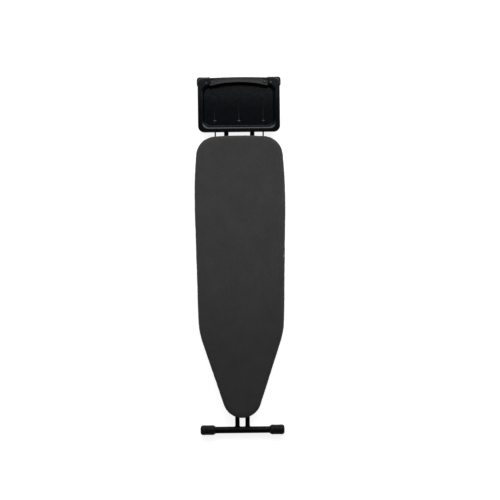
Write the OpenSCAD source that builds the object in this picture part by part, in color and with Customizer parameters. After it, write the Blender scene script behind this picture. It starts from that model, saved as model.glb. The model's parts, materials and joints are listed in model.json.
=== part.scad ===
// Folding ironing board with an iron rest, lying folded on its feet.
// Millimetres, +Z up. X is the width, +Y runs from the nose to the iron rest.
// The origin is on the floor, straight under the scissor pin, in the middle of the folded board.
// Positions along the board are written from the nose tip, and in_place() moves them to the origin.

/* [Board] */
// Length of the board, nose tip to square end
board_len = 1350; // [1330:1:1370]
// Half of the board's greatest width
board_half = 217; // [210:1:225]
// Radius of the square end's two corners
corner_r = 95; // [88:1:102]
// Radius of the nose
nose_r = 92; // [86:1:98]
// Width of the fabric that is turned in under the board
lip_w = 42; // [35:1:44]
// Thickness of the padding
pad_t = 6; // [4:1:10]
// Thickness of the cover's fabric
cover_t = 0.8; // [0.6:0.1:1.2]

/* [Legs] */
// Foot bar's distance beyond the nose tip, folded
nose_gap = 65; // [64:1:72]
// Foot bar's distance beyond the square end, folded
tail_gap = 264; // [262:1:268]
// Leg length from the scissor pin to the top pivot, along the leg
upper_leg = 420; // [414:1:424]
// Radius of a leg tube
leg_r = 11; // [10.6:0.1:11.2]
// Wall of the steel tubes
tube_wall = 1; // [0.8:0.1:1.6]
// Distance between the centre lines of the inner leg's two tubes
inner_gap = 48.8; // [48:0.1:49.4]
// Distance between the centre lines of the outer leg's two tubes
outer_gap = 125; // [124:0.5:127]
// Radius of a foot bar
bar_r = 16; // [14:0.5:16]
// Radius of the rubber foot caps
cap_r = 23.5; // [23.5:0.1:23.8]
// Length of a foot cap
cap_len = 72; // [66:1:76]
// Width across both caps of a foot
foot_w = 405; // [398:1:410]
// Largest opening angle of a leg
open_max = 46; // [44:0.5:46]
// Smallest opening angle that has a notch
open_min = 29; // [28:0.5:31]
// Number of height notches
notch_count = 6; // [4:1:6]

/* [Iron rest] */
// Width of the tray
tray_w = 393; // [385:1:400]
// Depth of the tray at its middle
tray_d = 263; // [258:1:265]
// Gap between the board and the tray
tray_gap = 17; // [15:1:20]
// Width of the tray's raised border
border_w = 24; // [20:1:28]
// Height of the tray's border above its floor
border_h = 14; // [12:1:16]
// Radius of the rods that carry the tray
rod_r = 3.5; // [3:0.5:3.5]
// Half the distance between the two long rods
rod_x = 115; // [113:1:117]
// Length of the grip strips
strip_len = 118; // [100:1:130]

/* [Hidden] */
$fn = 48;
run_fit = 0.05;
loose_fit = 0.3;
over = 1;
steel = [0.13, 0.13, 0.14];
zinc = [0.62, 0.63, 0.65];
black_plastic = [0.07, 0.07, 0.08];
rubber_black = [0.05, 0.05, 0.05];
mesh_grey = [0.45, 0.46, 0.47];
cloth = [0.19, 0.19, 0.19];
foam = [0.75, 0.74, 0.7];

// Heights, from the floor up
leg_z = cap_r;
pivot_rise = 20;
pivot_z = leg_z + pivot_rise;
tray_z = 2 * cap_r + 2.5;
tray_t = 2.5;
border_z = tray_z + tray_t + border_h;
rod_z = tray_z - rod_r;
rim_z = tray_z + 2.5;
rim_h = 14;
bar_h = 8;
mesh_z = rim_z + rim_h;
mesh_t = 0.6;
bar_z = mesh_z - bar_h;
pad_z = mesh_z + mesh_t;
top_z = pad_z + pad_t + cover_t;

// Places along the board, from the nose tip
foot_nose_y = -nose_gap;
foot_tail_y = board_len + tail_gap;
pin_y = (foot_nose_y + foot_tail_y) / 2;
pivot_y = pin_y + upper_leg;
nose_bar_y = 110;
front_bar_y = 322;
middle_bar_y = 672;
latch_y = 1000;
tail_bar_y = 1285;
inner_brace_ys = [190, pivot_y - 120];
outer_brace_y = 1280;
tray_y = board_len + tray_gap;

// Places across the board, and the sizes of the small parts
inner_x = inner_gap / 2;
outer_x = outer_gap / 2;
latch_x = (inner_x + outer_x) / 2;
plate_t = 3;
bar_w = 26;
bar_wall = 1.2;
rim_t = 1.5;
rim_inset = 3;
rim_flange = 16;
axle_r = 5;
lug_r = 9;
bush_r = 6.5;
pin_r = 4;
brace_r = 8;
tube_end = 16;
rail_x = 88.5;
rail_low = pivot_z - 11;
axle_half = 131;

// The locking comb turns on a shaft beside the right slide rail
shaft_x = 104;
shaft_r = 4;
shaft_z = bar_z - shaft_r - 0.5;
comb_t = 2.5;
comb_reach = 28;
comb_rest = 3;
notch_top = 8.5;
notch_half = axle_r + 0.8;
lever_y = 716;
lever_rest = 12;
lever_len = 88;

// How far the slide axle stands from the nose tip when the legs are opened by angle a
arm = norm([upper_leg, pivot_rise]);
arm_tilt = atan2(pivot_rise, upper_leg);
function axle_y(a) = pivot_y - 2 * arm * cos(a + arm_tilt);
stored_y = axle_y(0);
open_y = axle_y(open_max);
notch_step = (open_max - open_min) / (notch_count - 1);
notch_ys = concat([stored_y], [for (i = [0:notch_count - 1]) axle_y(open_min + i * notch_step)]);

// ---- The board's outline: tangent arcs from the square end to the nose, mirrored ----
end_r = 1800;
side_r = 2600;
hip_r = 400;
corner_end = 85;
side_end = 91.26;
taper_end = 108.3;
function out(t) = [sin(t), cos(t)];
corner_x = board_half - side_r + (side_r - corner_r) * sin(corner_end);
end_turn = asin(corner_x / (end_r - corner_r));
end_c = [0, board_len - end_r];
corner_c = end_c + (end_r - corner_r) * out(end_turn);
side_c = corner_c - (side_r - corner_r) * out(corner_end);
nose_c = [0, nose_r];
side_d = side_c * out(side_end) + side_r - hip_r;
taper_d = nose_c * out(taper_end) + nose_r - hip_r;
hip_det = sin(side_end - taper_end);
hip_c = [(side_d * cos(taper_end) - taper_d * cos(side_end)) / hip_det,
    (taper_d * sin(side_end) - side_d * sin(taper_end)) / hip_det];
function arc(c, r, t0, t1, n) = [for (i = [0:n]) c + r * out(t0 + (t1 - t0) * i / n)];
function right_side(inset) = concat(
    arc(end_c, end_r - inset, 0, end_turn, 3),
    arc(corner_c, corner_r - inset, end_turn + 8, corner_end, 9),
    arc(side_c, side_r - inset, corner_end + 1, side_end, 4),
    arc(hip_c, hip_r - inset, side_end, taper_end, 6),
    arc(nose_c, nose_r - inset, taper_end, 180, 9));
function mirrored(points) = [for (i = [len(points) - 2:-1:1]) [-points[i][0], points[i][1]]];
function outline(inset) = concat(right_side(inset), mirrored(right_side(inset)));
width_table = [for (i = [len(right_side(0)) - 1:-1:0]) [right_side(0)[i][1], right_side(0)[i][0]]];
function half_w(y) = lookup(y, width_table);

// ---- The tray's outlines: rounded corners, straight sides and a bowed far edge ----
function bowed_side(half, near, far, near_r, far_r, bow_r, inset) = let (
    bow_c = [0, far - bow_r],
    turn = asin((half - far_r) / (bow_r - far_r)),
    corner_c = bow_c + (bow_r - far_r) * out(turn))
    concat(
        arc(bow_c, bow_r - inset, 0, turn, 4),
        arc(corner_c, far_r - inset, turn + 8, 90, 6),
        arc([half - near_r, near + near_r], near_r - inset, 90, 180, 7));
function both_sides(points) = concat(points,
    [for (i = [len(points) - 1:-1:1]) [-points[i][0], points[i][1]]]);
tray_half = tray_w / 2;
tray_near_r = 30;
tray_far_r = 22;
tray_bow_r = 3200;
function tray_outline(inset) = both_sides(
    bowed_side(tray_half, tray_y, tray_y + tray_d, tray_near_r, tray_far_r, tray_bow_r, inset));

// The recess runs on under the arched backstop
recess_half = tray_half - border_w;
recess_r = 26;
recess_near = tray_y + border_w;
recess_far = tray_y + tray_d - 13;
recess_bow_r = 450;
function recess_outline(inset) = both_sides(
    bowed_side(recess_half, recess_near, recess_far, recess_r, recess_r, recess_bow_r, inset));

// ---- Helpers ----
module in_place() translate([0, -pin_y, 0]) children();
module both() for (side = [0, 1]) mirror([side, 0, 0]) children();
module along(x, y0, y1, z, r) translate([x, y0, z]) rotate([-90, 0, 0]) cylinder(h = y1 - y0, r = r);
module across(x0, x1, y, z, r) translate([x0, y, z]) rotate([0, 90, 0]) cylinder(h = x1 - x0, r = r);
module upright(x, y, z0, z1, r) translate([x, y, z0]) cylinder(h = z1 - z0, r = r);
module box(lo, hi) translate(lo) cube(hi - lo);
module slab(z0, z1, points) translate([0, 0, z0]) linear_extrude(z1 - z0) polygon(points);
module yz_plate(x, t) translate([x, 0, 0]) rotate([90, 0, 90]) linear_extrude(t) children();

// A ring around an axis along X
module ring(x0, x1, y, z, r_out, r_in) difference() {
    across(x0, x1, y, z, r_out);
    across(x0 - over, x1 + over, y, z, r_in);
}

// A flat ear standing up from a tube to a hole at [y, pivot_z]
module ear(x, y, low_z, hole_r) yz_plate(x, plate_t) difference() {
    union() {
        translate([y, pivot_z]) circle(lug_r);
        translate([y - lug_r, low_z]) square([2 * lug_r, pivot_z - low_z]);
    }
    translate([y, pivot_z]) circle(hole_r);
}

// ---- Board ----
slot_w = 12;
slot_l = 26;
slot_pitch_x = 24;
slot_pitch_y = 40;
slot_edge = 22;
module board_mesh() color(mesh_grey) in_place()
    translate([0, 0, mesh_z]) linear_extrude(mesh_t) difference() {
    polygon(outline(rim_inset));
    for (row = [1:31], column = [-8:8]) {
        x = column * slot_pitch_x;
        y = 30 + row * slot_pitch_y;
        room = min(half_w(y), half_w(y + slot_l)) - slot_edge;
        if (abs(x) + slot_w / 2 < room && !in_bar(y))
            translate([x - slot_w / 2, y]) square([slot_w, slot_l]);
    }
}
bar_ys = [nose_bar_y, front_bar_y, middle_bar_y, latch_y, pivot_y, tail_bar_y];
function in_bar(y) = max([for (b = bar_ys) (y < b + bar_w / 2 && y + slot_l > b - bar_w / 2) ? 1 : 0]) > 0;

module board_rim() color(steel) in_place() union() {
    difference() {
        slab(rim_z, mesh_z, outline(rim_inset));
        slab(rim_z - over, mesh_z + over, outline(rim_inset + rim_t));
    }
    difference() {
        slab(rim_z, rim_z + rim_t, outline(rim_inset));
        slab(rim_z - over, rim_z + rim_t + over, outline(rim_inset + rim_flange));
    }
}

// A hollow bar across the board, its ends on the rim's inner wall
module crossbar(y) color(steel) in_place() difference() {
    intersection() {
        box([-board_half, y - bar_w / 2, bar_z], [board_half, y + bar_w / 2, mesh_z]);
        slab(bar_z, mesh_z, outline(rim_inset + rim_t));
    }
    box([-board_half - over, y - bar_w / 2 + bar_wall, bar_z + bar_wall],
        [board_half + over, y + bar_w / 2 - bar_wall, mesh_z - bar_wall]);
}
module nose_crossbar() crossbar(nose_bar_y);
module front_crossbar() crossbar(front_bar_y);
module middle_crossbar() crossbar(middle_bar_y);
module latch_crossbar() crossbar(latch_y);
module pivot_crossbar() crossbar(pivot_y);
module tail_crossbar() crossbar(tail_bar_y);

module pad() color(foam) in_place() slab(pad_z, pad_z + pad_t, outline(cover_t));

module cover() color(cloth) in_place() difference() {
    slab(rim_z - cover_t, top_z, outline(0));
    slab(rim_z, top_z - cover_t, outline(cover_t));
    slab(rim_z - 2 * cover_t, rim_z + over, outline(lip_w));
}

// ---- Slide rails: the axle's bushes run in their slots ----
rail_y0 = front_bar_y - bar_w / 2;
rail_y1 = middle_bar_y + bar_w / 2;
rivet_r = 3;
rivet_head_r = 5;
rivet_head_t = 2;
foot_t = 2.5;
foot_reach = 12;
rivet_ys = [front_bar_y, middle_bar_y];
module slide_rail() color(zinc) in_place() difference() {
    union() {
        box([rail_x, rail_y0, rail_low], [rail_x + plate_t, rail_y1, bar_z]);
        for (y = rivet_ys)
            box([rail_x - foot_reach, y - bar_w / 2, bar_z - foot_t], [rail_x, y + bar_w / 2, bar_z]);
    }
    for (y = [stored_y, open_y])
        across(rail_x - over, rail_x + plate_t + over, y, pivot_z, bush_r + run_fit);
    box([rail_x - over, stored_y, pivot_z - bush_r - run_fit],
        [rail_x + plate_t + over, open_y, pivot_z + bush_r + run_fit]);
    for (y = rivet_ys)
        upright(rail_x - foot_reach / 2, y, bar_z - foot_t - over, bar_z + over, rivet_r);
}
module slide_rail_right() slide_rail();
module slide_rail_left() mirror([1, 0, 0]) slide_rail();

module rail_rivets() color(zinc) in_place() both() for (y = rivet_ys) union() {
    upright(rail_x - foot_reach / 2, y, bar_z - foot_t, bar_z, rivet_r);
    upright(rail_x - foot_reach / 2, y, bar_z - foot_t - rivet_head_t, bar_z - foot_t, rivet_head_r);
}

// ---- Leg pivot brackets: the inner leg hangs between them ----
bracket_x = latch_x - 1;
module pivot_bracket() color(zinc) in_place() yz_plate(bracket_x, plate_t) difference() {
    union() {
        translate([pivot_y, pivot_z]) circle(lug_r);
        polygon([[pivot_y - lug_r, pivot_z], [pivot_y + lug_r, pivot_z], [pivot_y + bar_w / 2, bar_z],
            [pivot_y - bar_w / 2, bar_z]]);
    }
    translate([pivot_y, pivot_z]) circle(axle_r + run_fit);
}
module pivot_bracket_right() pivot_bracket();
module pivot_bracket_left() mirror([1, 0, 0]) pivot_bracket();

// ---- Locking comb's supports ----
bracket_t = 4;
shaft_bush_r = 5.5;
bracket_r = 8.5;
spring_r = 5.4;
wire_r = 0.7;
spring_turns = 5;
spring_y0 = 688;
module shaft_brackets() color(zinc) in_place() for (y = rivet_ys) difference() {
    along(shaft_x, y - bracket_t / 2, y + bracket_t / 2, shaft_z, bracket_r);
    along(shaft_x, y - bracket_t, y + bracket_t, shaft_z, shaft_bush_r);
    box([shaft_x - bar_w, y - bar_w, bar_z], [shaft_x + bar_w, y + bar_w, mesh_z]);
}

module shaft_bushes() color(black_plastic) in_place() for (y = rivet_ys) difference() {
    intersection() {
        along(shaft_x, y - bracket_t / 2, y + bracket_t / 2, shaft_z, shaft_bush_r);
        box([shaft_x - bar_w, y - bar_w, 0], [shaft_x + bar_w, y + bar_w, bar_z]);
    }
    along(shaft_x, y - bracket_t, y + bracket_t, shaft_z, shaft_r + run_fit);
}

// A torsion spring: rings of a round wire's section swept along a helix about the shaft
spring_sides = 6;
spring_steps = 14;
spring_rings = spring_turns * spring_steps;
spring_pitch = 2.2 * wire_r;
function coil_point(i, j) = let (turn = 360 * i / spring_steps, side = 360 * j / spring_sides,
    r = spring_r + wire_r * cos(side))
    [r * cos(turn), spring_pitch * i / spring_steps + wire_r * sin(side), r * sin(turn)];
module lock_spring() color(zinc) in_place() translate([shaft_x, spring_y0, shaft_z]) polyhedron(
    points = [for (i = [0:spring_rings], j = [0:spring_sides - 1]) coil_point(i, j)],
    faces = concat(
        [[for (j = [0:spring_sides - 1]) j]],
        [for (i = [0:spring_rings - 1], j = [0:spring_sides - 1]) let (k = (j + 1) % spring_sides)
            [i * spring_sides + j, (i + 1) * spring_sides + j,
            (i + 1) * spring_sides + k, i * spring_sides + k]],
        [[for (j = [spring_sides - 1:-1:0]) spring_rings * spring_sides + j]]));

latch_boss_r = 8;
latch_boss_h = 20;
module latch_boss() color(black_plastic) in_place() difference() {
    upright(latch_x, latch_y, bar_z - latch_boss_h, bar_z, latch_boss_r);
    upright(latch_x, latch_y, bar_z - latch_boss_h - over, bar_z - 4, pin_r + run_fit);
}

// ---- Iron rest ----
rod_y0 = tail_bar_y - bar_w / 2;
rod_y1 = tray_y + tray_d - 30;
clamp_half = 8;
module rod_clamps() color(black_plastic) in_place() both() difference() {
    box([rod_x - clamp_half, rod_y0, rod_z - rod_r - 3], [rod_x + clamp_half, rod_y0 + bar_w, bar_z]);
    along(rod_x, rod_y0 - over, rod_y0 + bar_w + over, rod_z, rod_r);
    box([rod_x - clamp_half - over, rod_y0 + bar_w / 4, rim_z - 2], [rod_x + clamp_half + over,
        rod_y0 + 3 * bar_w / 4, bar_z - 2]);
}
module tray_rod() color(steel) in_place() along(rod_x, rod_y0 - 4, rod_y1, rod_z, rod_r);
module tray_rod_right() tray_rod();
module tray_rod_left() mirror([1, 0, 0]) tray_rod();

cross_ys = [tray_y + 46, tray_y + 196];
module tray_cross_rods() color(steel) in_place() for (y = cross_ys)
    across(rod_r - rod_x, rod_x - rod_r, y, rod_z, rod_r);

skirt_t = 2.5;
module tray_pan() color(black_plastic) in_place() union() {
    slab(tray_z, tray_z + tray_t, recess_outline(-tray_t));
    difference() {
        slab(tray_z, border_z, recess_outline(-tray_t));
        slab(tray_z - over, border_z + over, recess_outline(0));
    }
    difference() {
        slab(border_z - tray_t, border_z, tray_outline(0));
        slab(border_z - tray_t - over, border_z + over, recess_outline(0));
    }
    difference() {
        slab(tray_z + 1, border_z, tray_outline(0));
        slab(tray_z, border_z + over, tray_outline(skirt_t));
    }
}

// Saddles under the pan, each snapped over a long rod
saddle_w = 16;
saddle_l = 22;
module pan_saddles() color(black_plastic) in_place() both() for (y = cross_ys) difference() {
    box([rod_x, y - saddle_l / 2, rod_z - rod_r - 1], [rod_x + saddle_w, y + saddle_l / 2, tray_z]);
    along(rod_x, y - saddle_l, y + saddle_l, rod_z, rod_r);
}

// The arched backstop stands on the far border and leans over the recess
stop_half = 142;
stop_near = tray_y + tray_d - 47;
stop_far = tray_y + tray_d - 5;
stop_sag = 19;
stop_top = 11;
stop_bow_r = (stop_half * stop_half + stop_sag * stop_sag) / (2 * stop_sag);
stop_turn = asin(stop_half / stop_bow_r);
module backstop_bar() color(black_plastic) in_place() slab(border_z, border_z + stop_top, concat(
    arc([0, stop_near + stop_sag - stop_bow_r], stop_bow_r, -stop_turn, stop_turn, 12),
    [[stop_half, stop_far - 11], [stop_half - 8, stop_far - 4], [stop_half - 60, stop_far],
    [60 - stop_half, stop_far], [8 - stop_half, stop_far - 4], [-stop_half, stop_far - 11]]));

// Two screws hold the backstop down and two hold the border to the rods' far ends
screw_r = 4;
screw_h = 2;
stop_screw_x = 123;
border_screw_x = 154;
screw_y = tray_y + tray_d - 27;
module backstop_screws() color(zinc) in_place() both() {
    upright(stop_screw_x, screw_y, border_z + stop_top, border_z + stop_top + screw_h, screw_r);
    upright(border_screw_x, screw_y, border_z, border_z + screw_h, screw_r);
}

strip_w = 9;
strip_h = 3;
strip_y0 = tray_y + 50;
module grip_strips() color(rubber_black) in_place() for (x = [-1, 0, 1] * (rod_x + 1))
    slab(tray_z + tray_t, tray_z + tray_t + strip_h, concat(
        [for (i = [0:8]) [x, strip_y0 + strip_len] + strip_w / 2 * out(-90 + 22.5 * i)],
        [for (i = [0:8]) [x, strip_y0] + strip_w / 2 * out(90 + 22.5 * i)]));

// ---- Leg pieces that both legs share ----
module foot_bar(y) color(steel) in_place()
    ring(bar_r - foot_w / 2, foot_w / 2 - bar_r, y, leg_z, bar_r, bar_r - tube_wall);

// A rubber cap: tapered shoulder, straight grip and rounded end, with a blind bore for the bar
cap_round = 12;
shoulder = 9;
shoulder_r = bar_r + 1.5;
module foot_caps(y) color(rubber_black) in_place() both() translate([foot_w / 2 - cap_len, y, leg_z])
    rotate([0, 90, 0]) rotate_extrude() polygon(concat(
        [[bar_r + run_fit, 0], [shoulder_r, 0], [cap_r, shoulder]],
        [for (i = [0:4]) [cap_r - cap_round, cap_len - cap_round]
            + cap_round * [cos(22.5 * i), sin(22.5 * i)]],
        [[0, cap_len], [0, cap_len - bar_r], [bar_r + run_fit, cap_len - bar_r]]));

// A leg tube from its foot bar, fish-mouthed onto it, to its top end, with the scissor pin's hole
module leg_tube(x, foot_y, top_y, hole_r) color(steel) in_place() difference() {
    along(x, min(foot_y, top_y), max(foot_y, top_y), leg_z, leg_r);
    along(x, min(foot_y, top_y) - over, max(foot_y, top_y) + over, leg_z, leg_r - tube_wall);
    across(-board_half, board_half, foot_y, leg_z, bar_r);
    across(x - 2 * leg_r, x + 2 * leg_r, pin_y, leg_z, hole_r);
}

// A plastic plug: a flange on the tube's end and a short spigot in it
plug_t = 2;
plug_in = 12;
module tube_plug(x, y, way) {
    along(x, min(y, y + way * plug_t), max(y, y + way * plug_t), leg_z, leg_r);
    along(x, min(y, y - way * plug_in), max(y, y - way * plug_in), leg_z, leg_r - tube_wall);
}

// ---- Inner leg: two tubes close together, from the nose's foot to the pivot brackets ----
inner_top_y = pivot_y + tube_end;
lug_low = leg_z - leg_r + 3;
pivot_half = bracket_x + 8;
module inner_tube_right() leg_tube(inner_x, foot_nose_y, inner_top_y, pin_r);
module inner_tube_left() mirror([1, 0, 0]) leg_tube(inner_x, foot_nose_y, inner_top_y, pin_r);
module inner_foot_bar() foot_bar(foot_nose_y);
module inner_caps() foot_caps(foot_nose_y);
module inner_lugs() color(steel) in_place() both() ear(inner_x + leg_r, pivot_y, lug_low, axle_r);
module inner_brace() color(steel) in_place() for (y = inner_brace_ys)
    across(leg_r - inner_x, inner_x - leg_r, y, leg_z, brace_r);
module inner_plugs() color(black_plastic) in_place() both() tube_plug(inner_x, inner_top_y, 1);
module pivot_axle() color(zinc) in_place() across(-pivot_half, pivot_half, pivot_y, pivot_z, axle_r);
module pivot_sleeves() color(black_plastic) in_place() both()
    ring(inner_x + leg_r + plate_t, bracket_x - loose_fit, pivot_y, pivot_z, lug_r - 2, axle_r);
module pivot_clips() color(zinc) in_place() both()
    ring(bracket_x + plate_t + loose_fit, bracket_x + plate_t + 2, pivot_y, pivot_z, lug_r - 1, axle_r);

// The scissor pin joins the legs; it is fast in the inner leg and turns in the outer leg
pin_end = 8;
nut_r = 8;
nut_t = 6;
module scissor_pin() color(zinc) in_place()
    across(-outer_x - leg_r - pin_end, outer_x + leg_r + pin_end, pin_y, leg_z, pin_r);
module scissor_spacers() color(black_plastic) in_place() {
    both() ring(inner_x + leg_r, outer_x - leg_r - loose_fit, pin_y, leg_z, pin_r + 3, pin_r);
    ring(leg_r - inner_x, inner_x - leg_r, pin_y, leg_z, pin_r + 3, pin_r);
}
module scissor_nuts() color(zinc) in_place() both() difference() {
    translate([outer_x + leg_r + loose_fit, pin_y, leg_z]) rotate([0, 90, 0])
        cylinder(h = nut_t, r = nut_r, $fn = 6);
    across(outer_x, outer_x + 3 * leg_r, pin_y, leg_z, pin_r);
}

// ---- Outer leg: two tubes far apart, from the iron rest's foot to the slide rails ----
outer_top_y = stored_y - tube_end;
module outer_tube_right() leg_tube(outer_x, foot_tail_y, outer_top_y, pin_r + run_fit);
module outer_tube_left() mirror([1, 0, 0]) leg_tube(outer_x, foot_tail_y, outer_top_y, pin_r + run_fit);
module outer_foot_bar() foot_bar(foot_tail_y);
module outer_caps() foot_caps(foot_tail_y);
module outer_lugs() color(steel) in_place() both() ear(outer_x + leg_r, stored_y, lug_low, axle_r);
module outer_brace() color(steel) in_place()
    across(leg_r - outer_x, outer_x - leg_r, outer_brace_y, leg_z, brace_r);
module outer_plugs() color(black_plastic) in_place() both() tube_plug(outer_x, outer_top_y, -1);
module slide_axle() color(zinc) in_place() across(-axle_half, axle_half, stored_y, pivot_z, axle_r);
bush_proud = 3;
bush_end = rail_x + plate_t + bush_proud;
clip_t = 1.5;
module slide_bushes() color(black_plastic) in_place() both()
    ring(rail_x - bush_proud, bush_end, stored_y, pivot_z, bush_r, axle_r);
module axle_clips() color(zinc) in_place() both()
    ring(bush_end, bush_end + clip_t, stored_y, pivot_z, bush_r + 0.5, axle_r);

// ---- Locking comb, its shaft and the release lever ----
shaft_y0 = front_bar_y - 8;
shaft_y1 = lever_y + 14;
comb_y0 = front_bar_y + 18;
comb_y1 = open_y + 16;
hub_r = 6.5;
lever_pin_r = 1.5;
lever_pin_half = hub_r + 0.5;
module on_shaft(angle) in_place() translate([shaft_x, 0, shaft_z]) rotate([0, angle, 0]) children();
module lock_shaft() color(zinc) in_place() difference() {
    along(shaft_x, shaft_y0, shaft_y1, shaft_z, shaft_r);
    upright(shaft_x, lever_y, 0, mesh_z, lever_pin_r);
}
module lock_comb() color(zinc) on_shaft(comb_rest) difference() {
    box([shaft_r, comb_y0, -comb_t / 2], [comb_reach, comb_y1, comb_t / 2]);
    for (y = notch_ys)
        box([notch_top, y - notch_half, -comb_t], [comb_reach + over, y + notch_half, comb_t]);
}
lever_w = 22;
lever_t = 3;
blade_end = lever_len - 4;
grip_half = 15;
grip_from = 44;
grip_r = 5;
module lever_blade()
    box([0, lever_y - lever_w / 2, -lever_t / 2], [blade_end, lever_y + lever_w / 2, lever_t / 2]);
module release_lever() color(zinc) on_shaft(lever_rest) difference() {
    union() {
        along(0, lever_y - lever_w / 2, lever_y + lever_w / 2, 0, hub_r);
        lever_blade();
    }
    along(0, lever_y - lever_w, lever_y + lever_w, 0, shaft_r);
    rotate([0, -lever_rest, 0]) upright(0, lever_y, -2 * hub_r, 2 * hub_r, lever_pin_r);
}
module lever_grip() color(black_plastic) on_shaft(lever_rest) difference() {
    union() {
        box([grip_from, lever_y - grip_half, -grip_r], [lever_len - grip_r, lever_y + grip_half, grip_r]);
        along(lever_len - grip_r, lever_y - grip_half, lever_y + grip_half, 0, grip_r);
    }
    lever_blade();
}
module lever_pin() color(zinc) in_place()
    upright(shaft_x, lever_y, shaft_z - lever_pin_half, shaft_z + lever_pin_half, lever_pin_r);

// ---- Transport latch: a button that turns under both legs ----
latch_half = 36;
latch_w = 13;
latch_low = 5;
latch_t = 4;
module transport_latch() color(black_plastic) in_place() union() {
    upright(latch_x, latch_y, latch_low, bar_z - 5, pin_r);
    upright(latch_x, latch_y - latch_half + latch_w / 2, latch_low, latch_low + latch_t, latch_w / 2);
    upright(latch_x, latch_y + latch_half - latch_w / 2, latch_low, latch_low + latch_t, latch_w / 2);
    box([latch_x - latch_w / 2, latch_y - latch_half + latch_w / 2, latch_low],
        [latch_x + latch_w / 2, latch_y + latch_half - latch_w / 2, latch_low + latch_t]);
}

// ---- Output ----
board_mesh();
board_rim();
nose_crossbar();
front_crossbar();
middle_crossbar();
latch_crossbar();
pivot_crossbar();
tail_crossbar();
pad();
cover();
slide_rail_left();
slide_rail_right();
rail_rivets();
pivot_bracket_left();
pivot_bracket_right();
shaft_brackets();
shaft_bushes();
lock_spring();
latch_boss();
rod_clamps();
tray_rod_left();
tray_rod_right();
tray_cross_rods();
tray_pan();
pan_saddles();
backstop_bar();
backstop_screws();
grip_strips();
inner_tube_left();
inner_tube_right();
inner_foot_bar();
inner_caps();
inner_lugs();
inner_brace();
inner_plugs();
pivot_axle();
pivot_sleeves();
pivot_clips();
scissor_pin();
scissor_spacers();
scissor_nuts();
outer_tube_left();
outer_tube_right();
outer_foot_bar();
outer_caps();
outer_lugs();
outer_brace();
outer_plugs();
slide_axle();
slide_bushes();
axle_clips();
lock_shaft();
lock_comb();
release_lever();
lever_grip();
lever_pin();
transport_latch();
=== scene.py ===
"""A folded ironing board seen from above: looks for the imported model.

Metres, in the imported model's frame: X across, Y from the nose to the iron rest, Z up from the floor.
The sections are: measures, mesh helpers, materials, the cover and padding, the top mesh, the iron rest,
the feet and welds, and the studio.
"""
import json
import math

import bmesh
import bpy
from mathutils import Matrix, Vector, kdtree, noise

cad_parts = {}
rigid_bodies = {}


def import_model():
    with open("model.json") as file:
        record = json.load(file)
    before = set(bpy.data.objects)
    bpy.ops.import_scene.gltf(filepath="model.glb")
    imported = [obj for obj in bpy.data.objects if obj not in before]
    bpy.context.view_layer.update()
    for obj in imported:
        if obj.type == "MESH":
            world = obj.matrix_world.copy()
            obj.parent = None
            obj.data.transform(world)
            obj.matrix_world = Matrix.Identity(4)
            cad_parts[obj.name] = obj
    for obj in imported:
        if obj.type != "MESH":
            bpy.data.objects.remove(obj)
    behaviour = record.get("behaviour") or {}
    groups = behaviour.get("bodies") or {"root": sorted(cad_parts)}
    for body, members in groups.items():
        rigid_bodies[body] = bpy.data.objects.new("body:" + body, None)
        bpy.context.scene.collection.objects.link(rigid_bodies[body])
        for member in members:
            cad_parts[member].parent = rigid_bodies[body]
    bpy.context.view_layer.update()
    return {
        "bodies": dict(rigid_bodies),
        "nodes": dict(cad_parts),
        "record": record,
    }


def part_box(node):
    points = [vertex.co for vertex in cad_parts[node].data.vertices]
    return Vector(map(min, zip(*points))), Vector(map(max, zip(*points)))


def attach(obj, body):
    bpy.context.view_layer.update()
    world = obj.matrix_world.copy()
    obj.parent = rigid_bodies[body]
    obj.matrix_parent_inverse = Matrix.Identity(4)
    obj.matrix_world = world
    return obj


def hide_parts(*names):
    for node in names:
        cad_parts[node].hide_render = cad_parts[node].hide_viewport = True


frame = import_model()

# ---- Measures, taken from the frame ----
cover_lo, cover_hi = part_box("cover")
pad_lo, pad_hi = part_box("pad")
mesh_lo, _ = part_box("board_mesh")
tray_lo, tray_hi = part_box("tray_pan")
stop_lo, stop_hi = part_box("backstop_bar")
strips_lo, strips_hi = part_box("grip_strips")

# The board's outline: the part's own radii and turning angles
NOSE_Y = cover_lo.y
BOARD_LEN = cover_hi.y - cover_lo.y
BOARD_HALF = 0.217
CORNER_R, NOSE_R, END_R, SIDE_R, HIP_R = 0.095, 0.092, 1.8, 2.6, 0.4
CORNER_END, SIDE_END, TAPER_END = (math.radians(a) for a in (85, 91.26, 108.3))
LIP = 0.042
CLOTH = 0.0008


def out(turn):
    """The outline's outward direction: turn 0 faces the square end, half a turn faces the nose."""
    return Vector((math.sin(turn), math.cos(turn)))


def arc(centre, radius, start, end, spacing):
    """Points and outward directions along an arc."""
    steps = max(2, round(abs(end - start) * radius / spacing))
    turns = [start + (end - start) * i / steps for i in range(steps + 1)]
    return [(centre + radius * out(t), out(t)) for t in turns]


def straight(first, last, spacing):
    """Points between two ends of arcs, which share one direction."""
    steps = max(1, round((last[0] - first[0]).length / spacing))
    return [(first[0].lerp(last[0], i / steps), first[1]) for i in range(1, steps)]


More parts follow.
